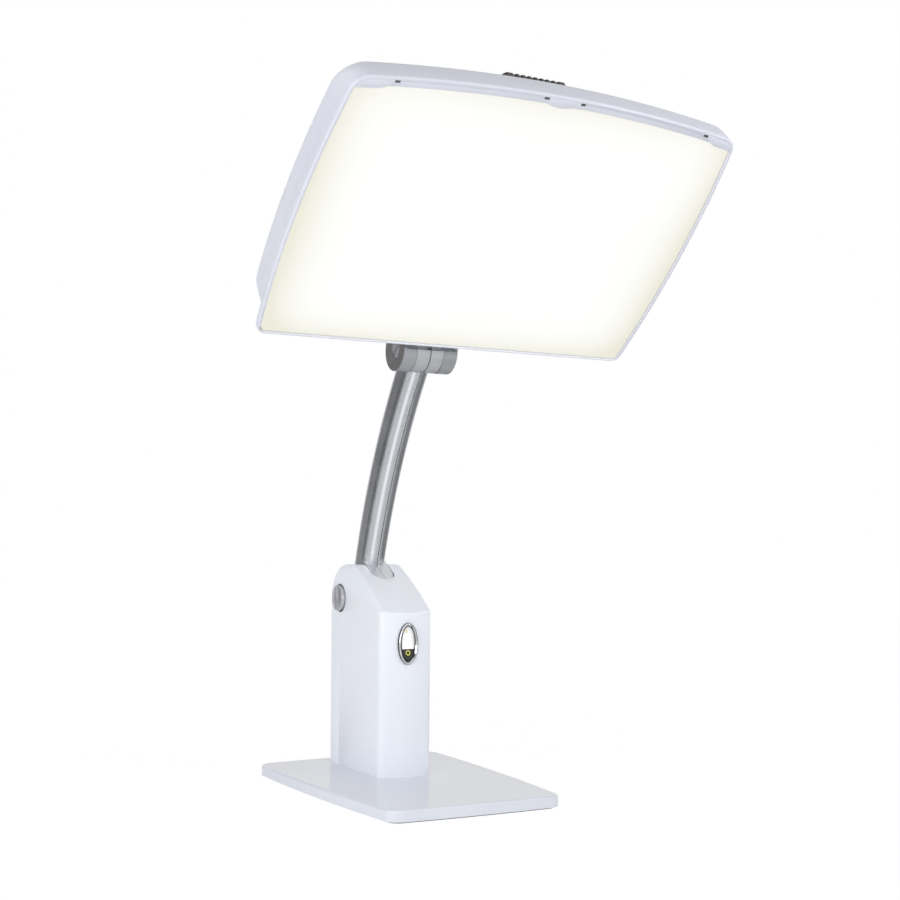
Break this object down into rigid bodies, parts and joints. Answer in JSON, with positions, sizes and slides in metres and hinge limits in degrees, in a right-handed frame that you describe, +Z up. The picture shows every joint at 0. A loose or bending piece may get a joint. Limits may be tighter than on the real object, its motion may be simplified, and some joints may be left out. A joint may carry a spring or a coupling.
{
  "type": "light therapy lamp",
  "caption": "Bright light panel on a curved tilting arm, over a slim column with a rocker switch on a weighted base plate.",
  "frame": {"origin": "on the table, under the middle of the base plate", "axes": "+Z up, the light panel faces -Y, +X is on the right as seen from the front"},
  "size_m": [0.4148, 0.4598, 0.6782],
  "materials": {
    "gloss_white": "gloss white moulded plastic",
    "satin_white": "satin white moulded plastic",
    "silver_satin": "satin silver",
    "chrome_bright": "bright plated",
    "dark_metal": "dark satin metal",
    "steel": "zinc plated steel",
    "cast_steel": "sheared ballast steel",
    "rubber_black": "matt rubber",
    "friction_fibre": "friction washer",
    "diffuser_opal": "opal acrylic, lit from behind",
    "reflector_white": "white reflector sheet",
    "clip_white": "white clip",
    "board_green": "circuit board with solder mask",
    "board_white": "white circuit board",
    "led_yellow": "phosphor emitter",
    "component_dark": "moulded electronic parts",
    "cable_grey": "cable sheath",
    "brass_plated": "contact brass",
    "switch_white": "gloss rocker, its lower part black",
    "vent_dark": "dark slotted vent",
    "black_plastic": "black moulded plastic"
  },
  "bodies": {
    "stand": {"base_cover": "gloss_white", "ballast_plate": "cast_steel", "base_bottom_plate": "steel", "non_slip_pad": "rubber_black", "base_screws": "steel", "column_bolts": "steel", "column_nuts": "steel", "column_front_shell": "satin_white", "column_rear_cover": "satin_white", "column_screws": "steel", "pivot_bracket": "steel", "pivot_shaft": "steel", "pivot_cap_left": "silver_satin", "pivot_cap_right": "silver_satin", "friction_washers": "friction_fibre", "spring_washers": "steel", "switch_bezel": "chrome_bright", "switch_body": "black_plastic", "switch_terminals": "brass_plated", "power_inlet": "black_plastic", "power_inlet_pin": "brass_plated", "power_inlet_nut": "brass_plated", "driver_board": "board_green", "driver_screws": "steel", "driver_components": "component_dark", "stand_cables": "cable_grey"},
    "arm": {"arm_left_half": "silver_satin", "arm_right_half": "silver_satin", "arm_screws": "steel", "arm_cable": "cable_grey"},
    "light_panel": {"neck_bracket": "silver_satin", "hinge_pin": "steel", "hinge_nut": "steel", "hinge_washers": "friction_fibre", "hinge_cap_left": "dark_metal", "hinge_cap_right": "dark_metal", "mounting_plate": "steel", "neck_screws": "steel", "plate_screws": "steel", "rear_shell": "satin_white", "front_bezel": "satin_white", "screen_clips": "clip_white", "diffuser": "diffuser_opal", "reflector_tray": "reflector_white", "light_strips": "board_white", "light_emitters": "led_yellow", "heat_spreader": "silver_satin", "panel_screws": "steel", "vent_grille": "vent_dark", "panel_cable": "cable_grey", "panel_terminal": "component_dark"},
    "switch_rocker": {"switch_rocker": "switch_white"}
  },
  "joints": [
    {"name": "arm_tilt", "type": "hinge", "parent": "stand", "child": "arm", "pos_m": [0, 0.1125, 0.1975], "axis": [1, 0, 0], "range_deg": [-15, 28]},
    {"name": "panel_tilt", "type": "hinge", "parent": "arm", "child": "light_panel", "pos_m": [0, -0.02319, 0.45824], "axis": [1, 0, 0], "range_deg": [-48, 40]},
    {"name": "switch_rock", "type": "hinge", "parent": "stand", "child": "switch_rocker", "pos_m": [0, 0.0064, 0.1535], "axis": [1, 0, 0], "range_deg": [0, 10]}
  ]
}
